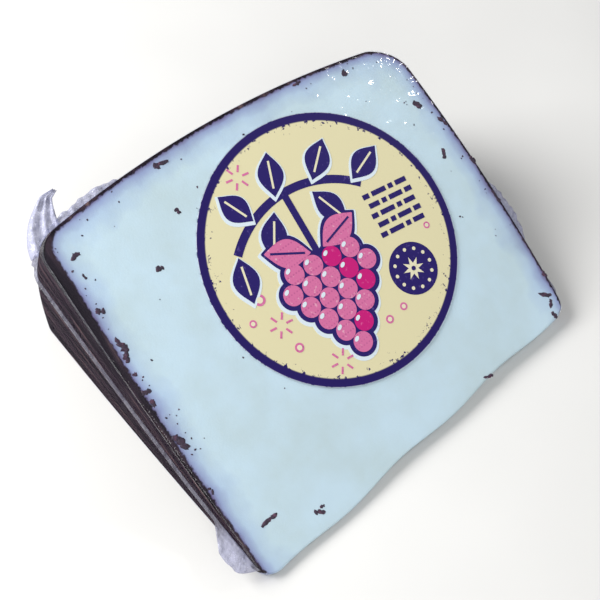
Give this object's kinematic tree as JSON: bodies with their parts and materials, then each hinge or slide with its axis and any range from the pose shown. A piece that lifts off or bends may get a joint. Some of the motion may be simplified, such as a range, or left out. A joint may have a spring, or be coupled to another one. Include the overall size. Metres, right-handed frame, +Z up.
{
  "type": "wine-washed goat cheese wedge",
  "caption": "Vacuum-sealed wedge of pale goat cheese with a dark wine-washed rind, lying on a cut face, with a round paper label on the sloping cut face.",
  "frame": {"origin": "middle of the resting cut face, midway between the tip and the heel and at the wheel's mid-height", "axes": "+X from the blunt tip to the heel, +Y along the wheel's axis to the flat rind side with the narrow flange, +Z up"},
  "size_m": [0.0846, 0.1005, 0.0405],
  "materials": {
    "cheese": "smooth white goat cheese paste under tight glossy film, with a dark plum rind on the heel and both flat sides",
    "film": "clear shrink film, crinkled at its free edges",
    "label_paper": null
  },
  "bodies": {
    "root": {"wrapped_wedge": "cheese", "film_flange": "film", "label": "label_paper"}
  },
  "joints": []
}
